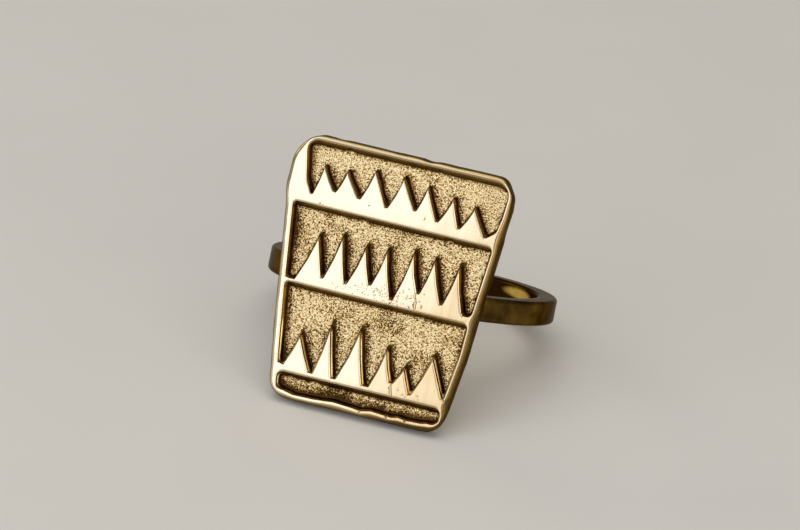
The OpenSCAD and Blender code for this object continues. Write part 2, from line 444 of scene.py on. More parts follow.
def read_plate(node):
    """Outlines of the plate's face and of its sunk ground, from the frame."""
    body = bmesh.new()
    body.from_mesh(node.data)
    bmesh.ops.remove_doubles(body, verts=body.verts, dist=1e-6)
    points = to_plate([v.co for v in body.verts])
    front = [[v.index for v in f.verts] for f in body.faces if f.normal.dot(Vector(FACE_WAY)) > 0.99]
    body.free()
    face = sorted(level_outlines(points, front, FACE_LEVEL), key=area)
    ground = level_outlines(points, front, GROUND_LEVEL)
    return face[-1], face[:-1], [c for c in ground if area(c) > 0.5]


def valley_ends(panels):
    """Places where a sunk panel runs to a sharp corner between two teeth."""
    ends = []
    for c in panels:
        before, after = c - np.roll(c, 3, 0), np.roll(c, -3, 0) - c
        turn = np.arctan2(
            before[:, 0] * after[:, 1] - before[:, 1] * after[:, 0], (before * after).sum(1)
        )
        peak = (turn >= np.roll(turn, 1)) & (turn >= np.roll(turn, -1)) & (turn > SHARP_TURN)
        ends.append(c[peak])
    return np.vstack(ends)


def rounded_valleys(loop):
    """A sunk panel's outline with crisp tips and rounder valley ends."""
    loop = resampled(loop, OUTLINE_STEP)
    crisp, round_ends = softened(loop, TIP_SOFTENING), softened(loop, VALLEY_SOFTENING)
    ends = valley_ends([crisp])
    if len(ends) == 0:
        return crisp
    away, _ = nearest(ends, crisp)
    weight = 1 - smooth(away, *VALLEY_REACH)[:, None]
    return crisp * (1 - weight) + round_ends * weight


def file_slot(loops):
    """Gives the slot's lower edge its filed waves."""
    across, height = np.array(SLOT_EDGE).T
    for c in loops:
        if c[:, 1].max() < SLOT_PANEL_BELOW:
            shift = np.interp(c[:, 0], across, height - SLOT_EDGE_LEVEL)
            c[:, 1] += shift * smooth(c[:, 1], *SLOT_WAVES)


def set_feet(grounds, tops):
    """Sets the feet of the walls, as far out as each was cut."""
    for c in grounds:
        # the walls under the bars and the upper rim slope further than the rest
        away, which = nearest(tops, c)
        lead = (c - tops[which]) / np.maximum(away, 1e-6)[:, None]
        c += lead * (UNDER_BAR_SHIFT * smooth(-lead[:, 1], 0.5, 0.95))[:, None]
        # the tips of the teeth stand steeper than their flanks make them
        away, which = nearest(tops, c)
        edge = tops[which]
        lead = (c - edge) / np.maximum(away, 1e-6)[:, None]
        beside, above = np.ones(len(c)), np.ones(len(c))
        for low, near, tip in reversed(FOOT_REACH):
            beside = np.where(edge[:, 1] > low, near, beside)
            above = np.where(edge[:, 1] > low, tip, above)
        above = np.where(edge[:, 1] < SLOT_MIDDLE, SLOT_REACH, above)
        up = smooth(lead[:, 1], 0.4, 0.9)
        down = smooth(-lead[:, 1], 0.3, 0.8)
        far = beside * (1 - up - down) + above * up + UNDER_BAR_REACH * down
        # chased by hand, so no wall is as wide as the next
        far *= 1 + 0.7 * uneven(1.1 * edge[:, 0], 1.1 * edge[:, 1], 7.0)
        c[:] = softened(edge + lead * np.minimum(away, far)[:, None], FOOT_SOFTENING)


def file_rim(rim, tops):
    """The rim as filed by hand, the ways that it looks, its rounding at each
    point and the inner line where the flat face begins."""
    rim = softened(resampled(rim, RIM_STEP), RIM_SOFTENING[0])
    for x, y, dx, dy, reach in RIM_SHIFTS:
        near = bell(np.hypot(rim[:, 0] - x, rim[:, 1] - y), reach)
        rim += near[:, None] * np.array([dx, dy])
    rim = softened(resampled(rim, RIM_STEP), RIM_SOFTENING[1])
    out = outward(rim)
    rounding = np.full(len(rim), CAD_ROUNDING)
    for x, y, more in FILED_ROUNDING:
        rounding += more * np.clip(x * out[:, 0] + y * out[:, 1], 0, 1)
    rounding += UNEVEN_ROUNDING * uneven(0.8 * rim[:, 0], 0.8 * rim[:, 1], 5.0)
    away, _ = nearest(tops, rim)
    rounding = np.clip(rounding, CAD_ROUNDING, away + CAD_ROUNDING - LEAST_LAND)
    for _ in range(2):
        rounding = sum(np.roll(rounding, k) for k in range(-2, 3)) / 5
    return rim, out, rounding, rim - out * (rounding - CAD_ROUNDING)[:, None]


def shape_outlines(rim, panels, grounds):
    """The solid's outlines with soft tips and the unevenness of hand work."""
    panels = [rounded_valleys(c) for c in panels]
    grounds = [softened(resampled(c, OUTLINE_STEP), TIP_SOFTENING) for c in grounds]
    file_slot(panels + grounds)
    set_feet(grounds, np.vstack(panels))
    return *file_rim(rim, np.vstack(panels)), panels, grounds


def scattered_pores():
    """Small round hollows at seeded places in the porous fields."""
    chance = np.random.default_rng(11)
    pores = []
    for x, y, half_x, half_y, slope, count in PORE_FIELDS:
        along = np.clip(chance.normal(0, 0.5, count), -1, 1)
        across = np.clip(chance.normal(0, 0.5, count), -1, 1)
        radius = chance.uniform(*PORE_RADII, count)
        for a, b, r in zip(along, across, radius):
            pores.append((x + a * half_x, y + a * slope + b * half_y, r, 0.3 * r))
    return pores


def mark_points(hollows):
    """Points where a hollow or a crease bends the face."""
    marks = []
    for x, y, radius, _ in hollows:
        marks.append((x, y))
        for ring in HOLLOW_RINGS:
            for a in np.arange(6) * math.pi / 3 + ring:
                marks.append((x + ring * radius * math.cos(a), y + ring * radius * math.sin(a)))
    for x0, y0, x1, y1, half, _ in CREASES:
        length = math.hypot(x1 - x0, y1 - y0)
        dx, dy = (x1 - x0) / length, (y1 - y0) / length
        for t in np.arange(0, length, CREASE_STEP):
            for side in CREASE_ROWS:
                marks.append((x0 + dx * t - dy * side * half, y0 + dy * t + dx * side * half))
    return np.array(marks)


def face_points(inner, panels, grounds, hollows):
    """Points of the plate's front: outlines first, then what fills them."""
    edges, start = [], 0
    for c in [inner] + panels + grounds:
        edges += [(start + i, start + (i + 1) % len(c)) for i in range(len(c))]
        start += len(c)
    outlines = np.vstack([inner] + panels + grounds)
    tops, feet = np.vstack(panels), np.vstack(grounds)
    shoulders = np.vstack([
        *(clear_of(tops, c + outward(c) * d, 0.93 * d) for d in SHOULDER_ROWS for c in panels),
        clear_of(tops, inner - outward(inner) * 0.08, 0.06),
    ])
    marks = clear_of(outlines, mark_points(hollows), 0.012)
    face = filled([inner] + panels, FACE_STEP, 0.24)
    face = clear_of(np.vstack([shoulders, inner]), face, 0.09)
    face = clear_of(marks, face, 0.03)
    # rows of points down the walls, where their shape bends
    _, foot = nearest(feet, tops)
    rows = np.vstack([tops + t * (feet[foot] - tops) for t in WALL_ROWS])
    rows = clear_of(outlines, rows, 0.009)
    walls = clear_of(rows, filled(panels + grounds, WALL_STEP, 0.6 * WALL_STEP), 0.032)
    sand = filled(grounds, GROUND_STEP, 0.55 * GROUND_STEP)
    # off their even pattern, so that no rows show among the grains
    sand += np.random.default_rng(5).uniform(-0.3, 0.3, sand.shape) * GROUND_STEP
    return np.vstack([outlines, shoulders, face, marks, rows, walls, sand]), edges


def crown(points):
    """How far the polished face falls off, so that it doesn't reflect as one
    sheet."""
    return CROWN[0] * points[:, 0] ** 2 + CROWN[1] * points[:, 1] ** 2


def place_on_walls(xy, panels, grounds):
    """How each point of the front lies to the walls of the sunk panels: share
    is 0 at a wall's upper edge and on the face, 1 at its foot and on the
    ground."""
    tops, feet = np.vstack(panels), np.vstack(grounds)
    at = SimpleNamespace()
    at.top_gap, which = nearest(tops, xy)
    at.top = tops[which]
    at.foot_gap, which = nearest(feet, xy)
    at.foot = feet[which]
    at.end_gap, _ = nearest(valley_ends(panels), xy)
    at.sunk = inside(xy, panels) | (at.top_gap < 1e-4)
    at.low = inside(xy, grounds) | (at.foot_gap < 1e-4)
    share = np.where(at.sunk, at.top_gap / (at.top_gap + at.foot_gap + 1e-9), 0.0)
    # the valleys between the teeth are cut down steeply to their very ends
    steep = bell(at.end_gap, 0.55) * smooth(at.top_gap, 0.0, 0.085)
    at.share = np.maximum(np.where(at.low, 1.0, share), np.where(at.sunk, steep, 0.0))
    off_edge = (xy - at.top) / np.maximum(at.top_gap, 1e-6)[:, None]
    off_line = smooth(at.top_gap, 0.0, 0.01)
    at.beside = np.abs(off_edge[:, 0]) * off_line
    at.lower_edge = np.where(at.sunk, 0.0, smooth(off_edge[:, 1], 0.75, 0.97)) * off_line
    at.pared = (0.4 * smooth(xy[:, 1], *LOWER_ROWS) + 0.6 * smooth(xy[:, 1], *FOOT_ROW)) * at.beside
    return at


def cuts(xy, hollows):
    """Distance of the points to each hollow and crease, its reach and depth."""
    for x, y, radius, deep in hollows:
        yield np.hypot(xy[:, 0] - x, xy[:, 1] - y), radius, deep
    for x0, y0, x1, y1, half, deep in CREASES:
        start, run = np.array([x0, y0]), np.array([x1 - x0, y1 - y0])
        t = np.clip((xy - start) @ run / (run @ run), 0, 1)
        yield np.hypot(*(xy - start - t[:, None] * run).T), half, deep


def front_relief(xy, at, hollows):
    """Heights of the front's points and how far each is scarred."""
    shoulder = SHOULDER * fade(at.top_gap, SHOULDER_REACH) ** 2
    # the polishing wheel took more off the lower edges of the bars
    shoulder += WORN_EDGE * at.lower_edge * fade(at.top_gap, WORN_EDGE_REACH) ** 2
    fall = 0.35 * at.share + 0.65 * at.share * at.share * (3 - 2 * at.share)
    # in the lower rows the wall was pared twice, which leaves a ledge in it
    fall += (np.interp(at.share, *np.array(PARED_WALL).T) - fall) * at.pared
    fillet = FILLET * fade(at.foot_gap, FILLET_REACH) ** 2
    depth = FACE_LEVEL - SHOULDER - GROUND_LEVEL - FILLET
    raised = np.where(at.sunk, FACE_LEVEL - SHOULDER - depth * fall, FACE_LEVEL - shoulder)
    z = np.where(at.low, GROUND_LEVEL + fillet, raised) - crown(xy)
    scar_shade = np.zeros(len(xy))
    for gap, reach, deep in cuts(xy, hollows):
        here = np.where(at.sunk, 0, bell(gap, reach))
        z -= deep * here
        scar_shade = np.maximum(scar_shade, here)
    return z, scar_shade


def front_finishes(xy, at, inner):
    """Shares of the finishes on the front, and of its painted highlight and shade, from 0 to 1, for its
    material.
    """
    # ways from each point to its wall, to tell under a bar, beside a tooth
    lead = (at.foot - xy) / np.maximum(at.foot_gap, 1e-6)[:, None]
    under = np.clip(lead[:, 1], 0, 1)
    right = np.clip(-lead[:, 0], 0, 1)
    left = np.clip(lead[:, 0], 0, 1)
    # the dark finish lies at the feet of the walls, and painted shade draws it
    # wider on the right of the teeth and under the bars and narrower on their left
    reach = 0.04 + 0.04 * under + 0.04 * right - 0.02 * left
    patina_and_painted_shade = np.where(at.low, bell(at.foot_gap, reach), smooth(at.share, 0.02, 0.22))
    # painted shade: a broader darkening of the ground near the walls, deepest on the right of the teeth
    # and less under the bars and on their left, with random patches, darker still in the slot and
    # lighter in the top row
    painted_shade_and_patches = bell(at.foot_gap, 0.2 + 0.16 * right + 0.06 * under)
    painted_shade_and_patches *= 0.95 + 0.12 * right - 0.3 * under - 0.55 * left
    spread = uneven(0.55 * xy[:, 0], 0.55 * xy[:, 1], 3.0)
    painted_shade_and_patches = painted_shade_and_patches + 0.8 * np.clip(spread, 0, 1) + np.where(xy[:, 1] < SLOT_DARK_BELOW, 0.6, 0.0)
    top_row = smooth(xy[:, 1], *TOP_ROW)
    painted_shade_and_patches = np.where(at.low, painted_shade_and_patches, 0.0) * (1 - 0.3 * top_row)
    # the grains are finest and shallowest in the slot and the top row
    grain = np.where(at.low, smooth(at.foot_gap, 0.0, 0.08), 0.0)
    grain *= 1 - 0.12 * top_row - 0.3 * smooth(xy[:, 1], *SLOT)

    # painted highlight: a gold line down a wall where its ledge would reflect
    # the lamps, narrow on the lower rows and only a brown edge on the top row and
    # under the bars
    worn = at.pared * (0.75 + 0.9 * uneven(0.9 * at.top[:, 0], 0.5 * at.top[:, 1], 11.0))
    line = smooth(at.share, 0.06, 0.14) * (1 - smooth(at.share, 0.55, 0.74)) * np.clip(worn, 0, 1)
    edge = 0.5 * bell(at.share - 0.29, 0.15)
    edge *= 1 - 0.8 * smooth(xy[:, 1], *FOOT_ROW) * at.beside
    # painted highlight: a gold glint round the valley ends of the lower rows
    bend = bell(at.end_gap, 0.3) * bell(at.share - 0.3, 0.25)
    bend *= 0.8 * smooth(xy[:, 1], *LOWER_ROWS)
    # painted reflection: under the bars the whole wall is lightened to an even
    # olive, and the left flanks of the teeth to a tan gold
    rise = (at.top - at.foot) / np.maximum(at.top_gap + at.foot_gap, 1e-6)[:, None]
    olive = 0.4 * smooth(rise[:, 1], 0.6, 0.9) * (1 - 0.5 * at.share)
    rim_gap, _ = nearest(inner, xy)
    tan = 0.75 * smooth(rise[:, 0], 0.3, 0.8) * smooth(rim_gap, 1.2, 1.6) * (1 - 0.5 * at.share)
    painted_gleam = np.maximum(np.clip(line + edge + bend, 0, 1), np.maximum(olive, tan))
    painted_gleam = np.where(at.sunk & ~at.low, painted_gleam, 0.0)
    # painted shade: the face darkens to an olive tone toward the lower edges of
    # the bars, most of all under the top rim
    at_rim = smooth(xy[:, 1], *TOP_RIM)
    edge_shade = fade(at.top_gap, 0.28 + 0.06 * at_rim) ** (1.5 - 0.7 * at_rim)
    edge_shade *= at.lower_edge * (0.55 + 0.45 * at_rim)
    return {
        "recess": at.share, "patina_and_painted_shade": patina_and_painted_shade, "painted_shade_and_patches": painted_shade_and_patches, "painted_gleam": painted_gleam,
        "grain": grain, "edge_shade": edge_shade,
    }


def plate_front(inner, panels, grounds):
    """Points, triangles and surface shares of the plate's front, and the
    numbers of the points on its inner line."""
    hollows = PITS + scattered_pores()
    flat, edges = face_points(inner, panels, grounds, hollows)
    made = delaunay_2d_cdt([Vector(p) for p in flat], edges, [], 1, 1e-6)
    xy = np.array([v[:] for v in made[0]])
    at = place_on_walls(xy, panels, grounds)
    z, scar_shade = front_relief(xy, at, hollows)
    shares = {**front_finishes(xy, at, inner), "scar_shade": scar_shade}
    order = {old: new for new, olds in enumerate(made[3]) for old in olds}
    triangles = [tuple(f) for f in made[2]]
    return np.column_stack([xy, z]), triangles, shares, [order[i] for i in range(len(inner))]


def rim_rows(out, rounding):
    """Rows of points round the plate, from its rounded edge to its flat back:
    inset, height, and how far each is turned to the side."""
    rows = []
    # painted light: the left edge keeps its polished tone further round than the others
    leftward = LEFT_EDGE_PAINTED_LIGHT * np.clip(-out[:, 0], 0, 1)
    for degrees in EDGE_TURNS:
        a = math.radians(degrees)
        turn = np.clip((1 - degrees / 90 - leftward) / (1 - leftward), 0, 1)
        rows.append((rounding * (1 - math.cos(a)), FACE_LEVEL - rounding * (1 - math.sin(a)), turn))
    side = FACE_LEVEL - rounding
    flat = [(0, side + (BACK_BEVEL - side) * t) for t in SIDE_ROWS]
    flat.append((0.35 * BACK_BEVEL, 0.3 * BACK_BEVEL))
    # two rows more than the back needs keep its shading even up to the bevel
    flat += [(BACK_BEVEL + inset, 0) for inset in BACK_ROWS]
    return rows + [(inset + 0 * side, height + 0 * side, 1 + 0 * side) for inset, height in flat]


def plate_mesh(rim, out, rounding, inner, panels, grounds):
    """The whole plate: front, rounded edge, sides and flat back."""
    front, faces, shares, previous = plate_front(inner, panels, grounds)
    points, turns = [front], [np.zeros(len(front))]
    count, n = len(front), len(rim)
    rows = rim_rows(out, rounding)
    for inset, height, turn in rows:
        ring = rim + out * (CAD_ROUNDING - inset)[:, None]
        # the sides were filed by hand and wander a little inwards
        wander = uneven(0.7 * ring[:, 0], 0.7 * ring[:, 1], 0.5 * height)
        low = smooth(FACE_LEVEL - height, 0.05, 0.6)
        ring = ring - out * ((SIDE_FILED[0] + SIDE_FILED[1] * wander).clip(0) * low)[:, None]
        points.append(np.column_stack([ring, height - crown(rim) * height / FACE_LEVEL]))
        turns.append(turn)
        here = list(range(count, count + n))
        for i in range(n):
            j = (i + 1) % n
            faces.append((previous[i], here[i], here[j], previous[j]))
        previous = here
        count += n
    back_rim = points[-1][:, :2]
    flat = np.vstack([back_rim, filled([back_rim], BACK_STEP, 0.3 * BACK_STEP)])
    edges = [(i, (i + 1) % n) for i in range(n)]
    made = delaunay_2d_cdt([Vector(p) for p in flat], edges, [], 1, 1e-6)
    number, extra = {}, []
    for new, olds in enumerate(made[3]):
        if olds and olds[0] < n:
            number[new] = previous[olds[0]]
        else:
            number[new] = count + len(extra)
            extra.append((*made[0][new][:], 0.0))
    faces += [tuple(number[i] for i in reversed(f)) for f in made[2]]
    points = np.vstack([*points, extra])
    points[:, 1] = np.clip(points[:, 1], *RIM_ENDS)
    rest = np.zeros(len(points) - len(front))
    shares = {name: np.concatenate([a, rest]) for name, a in shares.items()}
    shares["side"] = np.concatenate([*turns, np.ones(len(extra))])
    on_back = len(front) + (len(rows) - len(BACK_ROWS)) * n
    shares["back"] = (np.arange(len(points)) >= on_back).astype(float)
    shares["front"] = smooth(points[:, 2], 0.1, 0.6)
    return points, faces, shares


def new_object(name, points, faces, shares=None, flat_place=None):
    """A mesh object with shares from 0 to 1 on its points and, where given,
    each point's place in the plate's frame."""
    mesh = bpy.data.meshes.new(name)
    mesh.from_pydata([tuple(p) for p in points], [], faces)
    for label, values in (shares or {}).items():
        layer = mesh.attributes.new(label, "FLOAT", "POINT")
        layer.data.foreach_set("value", np.asarray(values, np.float32))
    if flat_place is not None:
        layer = mesh.attributes.new("flat_place", "FLOAT_VECTOR", "POINT")
        layer.data.foreach_set("vector", np.asarray(flat_place, np.float32).ravel())
    mesh.polygons.foreach_set("use_smooth", np.ones(len(mesh.polygons), bool))
    mesh.validate()
    mesh.update()
    made = bpy.data.objects.new(name, mesh)
    bpy.context.scene.collection.objects.link(made)
    return made


# shank and solder

def tilted(points):
    """Points about the shank's own middle, turned as it sits on the plate."""
    c, s = math.cos(SHANK_TURN), math.sin(SHANK_TURN)
    x, y, z = points.T
    return np.column_stack([x * c - y * s, x * s + y * c + SHANK_HEIGHT, z])


def solder_mesh():
    """Solder that fills the wedge between the plate's back and the band, with
    hollow sides where it drew in as it set."""
    count, levels = SOLDER_STEPS
    turn = np.arange(count) * 2 * math.pi / count
    c, s = np.cos(turn), np.sin(turn)
    across = np.sign(c) * np.abs(c) ** SOLDER_SQUARENESS
    upright = np.sign(s) * np.abs(s) ** SOLDER_SQUARENESS
    rings = []
    for t in np.linspace(0, 1, levels):
        hollow = 4 * t * (1 - t)
        x = (SOLDER_LENGTH + SOLDER_SPREAD[0] * t * t - SOLDER_HOLLOW[0] * hollow) * across
        y = (SOLDER_WIDTH + SOLDER_SPREAD[1] * t * t - SOLDER_HOLLOW[1] * hollow) * upright
        wobble = uneven(0.9 * x, 1.7 * y, 2 * t)
        x, y = x * (1 + SOLDER_UNEVEN[0] * wobble), y * (1 + SOLDER_UNEVEN[1] * wobble)
        outer = SHANK_CENTRE + np.sqrt(SHANK_RADIUS**2 - x**2)
        foot = np.minimum(outer - 0.12, -0.03)
        rings.append(np.column_stack([x, y, foot + (0.06 - foot) * t]))
    faces = []
    for k in range(levels - 1):
        a, b = k * count, (k + 1) * count
        for i in range(count):
            j = (i + 1) % count
            faces.append((a + i, a + j, b + j, b + i))
    last = (levels - 1) * count
    for i in range(count // 2):
        j = count - i
        under = tuple(dict.fromkeys((i, i + 1, j - 1, j % count)))
        faces += [under[::-1], tuple(last + v for v in under)]
    return to_row(tilted(np.vstack(rings))), [f for f in faces if len(f) > 2]


# node groups

def swing(tree, pattern):
    """A noise spread out to swing between about -1 and 1."""
    return put(tree, "MapRange", {
        "Value": pattern, "From Min": 0.3, "From Max": 0.7, "To Min": -1.0, "To Max": 1.0,
    })


def new_tree(name, inputs):
    """A Geometry Nodes tree with its named inputs of each kind."""
    tree = bpy.data.node_groups.new(name, "GeometryNodeTree")
    tree.interface.new_socket("Geometry", in_out="OUTPUT", socket_type="NodeSocketGeometry")
    for kind, labels in inputs.items():
        for label in labels:
            tree.interface.new_socket(label, in_out="INPUT", socket_type="NodeSocket" + kind)
    return tree, put(tree, "NodeGroupInput").outputs


def close_tree(tree, geometry, material):
    """Ends a tree in Realize Instances and Set Material."""
    real = put(tree, "RealizeInstances", {"Geometry": geometry})
    painted = put(tree, "SetMaterial", {"Geometry": real, "Material": material})
    put(tree, "NodeGroupOutput", {"Geometry": painted})
    return tree


def bake(piece, tree, values):
    """Runs a tree on a piece once and keeps the result as a plain mesh."""
    modifier = piece.modifiers.new(tree.name, "NODES")
    modifier.node_group = tree
    for item in tree.interface.items_tree:
        if item.in_out == "INPUT" and item.name in values:
            modifier[item.identifier] = values[item.name]
    scene_now = bpy.context.evaluated_depsgraph_get()
    scene_now.update()
    mesh = bpy.data.meshes.new_from_object(
        piece.evaluated_get(scene_now), preserve_all_data_layers=True, depsgraph=scene_now
    )
    piece.modifiers.remove(modifier)
    piece.data = mesh


def stipple_tree():
    """Grains of the sunk ground and the slight waves of the polished face."""
    tree, given = new_tree("stippled_ground", {
        "Geometry": ["Geometry"], "Vector": ["Face direction"], "Material": ["Material"],
        "Float": ["Grain width", "Grain height", "Wave length", "Wave height", "Seed"],
    })
    place = put(tree, "InputPosition")
    grainy, front = [
        put(tree, "InputNamedAttribute", {"Name": name}, data_type="FLOAT")
        for name in ("grain", "front")
    ]
    patterns = []
    for width, detail, rough in (("Grain width", 2.0, 0.55), ("Wave length", 1.0, 0.4)):
        density = put(tree, "Math", {0: 1.0, 1: given[width]}, operation="DIVIDE")
        patterns.append(put(tree, "TexNoise", {
            "Vector": place, "W": given["Seed"], "Scale": density,
            "Detail": detail, "Roughness": rough,
        }, noise_dimensions="4D"))
    grains, waves = patterns
    lift = swing(tree, grains)
    grown = put(tree, "Math", {0: lift, 1: given["Grain height"]}, operation="MULTIPLY")
    grown = put(tree, "Math", {0: grown, 1: grainy}, operation="MULTIPLY")
    swell = put(tree, "Math", {0: waves, 1: given["Wave height"]}, operation="MULTIPLY")
    # the waves only lower the face, so the plate never grows past its size
    lowered = put(tree, "Math", {0: grown, 1: swell}, operation="SUBTRACT")
    move = given["Face direction"]
    for share in (lowered, front):
        move = put(tree, "VectorMath", {0: move, "Scale": share}, operation="SCALE")
    moved = put(tree, "SetPosition", {"Geometry": given["Geometry"], "Offset": move})
    kept = put(tree, "StoreNamedAttribute", {
        "Geometry": moved, "Name": "lift", "Value": lift,
    }, data_type="FLOAT", domain="POINT")
    return close_tree(tree, kept, given["Material"])


def band_tree():
    """A round band swept along the finger's circle, unevenly worn."""
    tree, given = new_tree("finger_band", {
        "Geometry": ["Geometry"], "Int": ["Steps round"], "Material": ["Material"],
        "Float": [
            "Inner radius", "Thickness", "Width", "Edge rounding", "Section step",
            "Wear length", "Wear depth",
        ],
    })
    half = put(tree, "Math", {
        0: given["Thickness"], 1: 0.5, 2: given["Inner radius"],
    }, operation="MULTIPLY_ADD")
    path = put(tree, "CurvePrimitiveCircle", {"Resolution": given["Steps round"], "Radius": half})
    section = put(tree, "CurvePrimitiveQuadrilateral", {
        "Width": given["Thickness"], "Height": given["Width"],
    })
    eased = put(tree, "FilletCurve", {
        "Curve": section, "Radius": given["Edge rounding"], "Count": 6,
    }, mode="POLY")
    even = put(tree, "ResampleCurve", {"Curve": eased, "Length": given["Section step"]}, mode="LENGTH")
    band = put(tree, "CurveToMesh", {"Curve": path, "Profile Curve": even})
    place = put(tree, "InputPosition")
    density = put(tree, "Math", {0: 1.0, 1: given["Wear length"]}, operation="DIVIDE")
    wear = put(tree, "TexNoise", {"Vector": place, "Scale": density, "Detail": 1.0, "Roughness": 0.4})
    deep = put(tree, "Math", {0: wear, 1: given["Wear depth"]}, operation="MULTIPLY")
    inwards = put(tree, "VectorMath", {
        0: put(tree, "InputNormal"), 1: (-1.0, -1.0, -1.0),
    }, operation="MULTIPLY")
    move = put(tree, "VectorMath", {0: inwards, "Scale": deep}, operation="SCALE")
    worn = put(tree, "SetPosition", {"Geometry": band, "Offset": move})
    soft = put(tree, "SetShadeSmooth", {"Geometry": worn})
    # points within the edge rounding of the inner radius are the bore
    radial = put(tree, "VectorMath", {0: place, 1: (1.0, 1.0, 0.0)}, operation="MULTIPLY")
    radius = put(tree, "VectorMath", {0: radial}, operation="LENGTH")
    bore_end = put(tree, "Math", {0: given["Inner radius"], 1: given["Edge rounding"]}, operation="ADD")
    bore = put(tree, "Math", {0: radius, 1: bore_end}, operation="LESS_THAN")
    kept = put(tree, "StoreNamedAttribute", {
        "Geometry": soft, "Name": "bore", "Value": bore,
    }, data_type="FLOAT", domain="POINT")
    return close_tree(tree, kept, given["Material"])


# materials

def new_material(name):
    """A material, its empty tree and its piece's Object coordinates."""
    material = bpy.data.materials.new(name)
    material.use_nodes = True
    material.node_tree.nodes.clear()
    place = put(material.node_tree, "TexCoord").outputs["Object"]
    return material, material.node_tree, place


def scale_of(*widths):
    """Scale of a noise whose bumps are this wide, on one axis or on three."""
    scales = tuple(BUMP_STEPS / width for width in widths)
    return scales if len(scales) > 1 else scales[0]


def coated(tree, tone, *coats):
    """A tone under coats of others, each laid on by its own share."""
    for share, coat in coats:
        tone = put(tree, "Mix", {"Factor": share, "A": tone, "B": coat}, data_type="RGBA")
    return tone


def summed(tree, total, *parts):
    """A value with others on top, each times its own weight."""
    for value, weight in parts:
        total = put(tree, "Math", {0: value, 1: weight, 2: total}, operation="MULTIPLY_ADD")
    return total


def drawn_out(tree, at, widths, detail, turn=0):
    """Noise drawn out to bumps of three widths, turned by degrees."""
    placed = put(tree, "Mapping", {
        "Vector": at, "Rotation": (0.0, 0.0, math.radians(turn)), "Scale": scale_of(*widths),
    })
    return put(tree, "TexNoise", {"Vector": placed, "Scale": 1.0, "Detail": detail})


def patches(tree, place, width):
    """Cloudy noise with patches about this wide."""
    return put(tree, "TexNoise", {
        "Vector": place, "Scale": scale_of(width), "Detail": 3.0, "Roughness": 0.6,
    })


def mottled(tree, place, width):
    """Soft patches of stain, about this wide."""
    return put(tree, "MapRange", {
        "Value": patches(tree, place, width), "From Min": 0.35, "From Max": 0.7,
    }, **SOFT_ENDS)


def bare_metal(tree, tone, rough, relief, slant):
    """Ends a material as metal. Its slant tone keeps a brown skin from
    shining white where it is seen at a slant."""
    skin = put(tree, "BsdfPrincipled", {
        "Base Color": tone, "Metallic": 1.0, "Specular Tint": slant,
        "Roughness": rough, "Normal": relief,
    })
    put(tree, "OutputMaterial", {"Surface": skin})


def polished_face(tree, at, edge_shade):
    """Tone of the raised face, with its polishing streaks, broad clouds and
    the way toward its right end, and with painted shade toward that end and at
    the lower edges of the bars."""
    # the streaks run up the plate, 0.56 mm wide and some 5 mm long
    streaks = drawn_out(tree, at, (0.5625, 5.25, 5.25), 2.0)
    clouds = put(tree, "TexNoise", {"Vector": at, "Scale": scale_of(5.25), "Detail": 2.0})
    # painted shade: the face darkens to a warm tone toward the right end and the
    # foot of the plate, where the light falls off, broken up by the streaks and clouds
    rightward = put(tree, "VectorMath", {0: at, 1: (0.055, -0.02, 0.0)}, operation="DOT_PRODUCT")
    warm = summed(tree, rightward, (streaks, 0.45), (clouds, 0.7))
    warm = put(tree, "MapRange", {"Value": warm, "From Min": 0.45, "From Max": 1.2}, **SOFT_ENDS)
    # the face's tone, with painted shade toward its right end and at the lower edges of the bars
    return coated(tree, "#f2e2bf", (warm, "#dabc8a"), (edge_shade, "#8f7440")), streaks, clouds, rightward


def sandy_ground(tree, at, given):
    """Tone of the sunk ground, and its grit: grains 0.15 mm wide, bright on
    top, with the dark finish in the hollows between them and painted shade
    near the walls."""
    grit = put(tree, "TexNoise", {
        "Vector": at, "Scale": scale_of(0.15), "Detail": 1.0, "Roughness": 0.5,
    })
    height = summed(tree, swing(tree, grit), (given["lift"], 0.35))
    height = put(tree, "Math", {0: height, 1: given["grain"]}, operation="MULTIPLY")
    # painted shade and patches darken the ground near the walls
    height = summed(tree, height, (given["painted_shade_and_patches"], -1.0))
    middle, bright = [
        put(tree, "MapRange", {"Value": height, "From Min": low, "From Max": high}, **SOFT_ENDS)
        for low, high in ((-1.1, -0.25), (-0.4, 0.25))
    ]
    sand = coated(tree, "#3d2a10", (middle, "#c0995c"), (bright, "#f8e3b0"))
    # the dark finish at the feet of the walls, widened by painted shade
    return coated(tree, sand, (given["patina_and_painted_shade"], "#453013")), grit


def filed_sides(tree, at):
    """Tone of the sides, and their fine file marks, 0.13 mm wide and 2 mm
    long, in a cloudy brown skin that is painted darker as shade."""
    marks = drawn_out(tree, at, (1.97, 1.97, 0.1313), 2.0)
    skin = summed(tree, patches(tree, at, 1.432), (marks, 0.35))
    skin = put(tree, "MapRange", {"Value": skin, "From Min": 0.45, "From Max": 0.95})
    return coated(tree, "#4f4022", (skin, "#7c6536")), marks


def sanded_back(tree, at, clouds):
    """Tone of the back under a cloudy tarnish, and its sanding: lines that
    run aslant, 0.11 mm wide."""
    sanding = drawn_out(tree, at, (0.1125, 2.625, 1.575), 3.0, turn=35)
    cloudy = summed(tree, clouds, (sanding, 0.6))
    cloudy = put(tree, "MapRange", {"Value": cloudy, "From Min": 0.55, "From Max": 1.05}, **SOFT_ENDS)
    return coated(tree, "#b39254", (cloudy, "#ecd398")), sanding


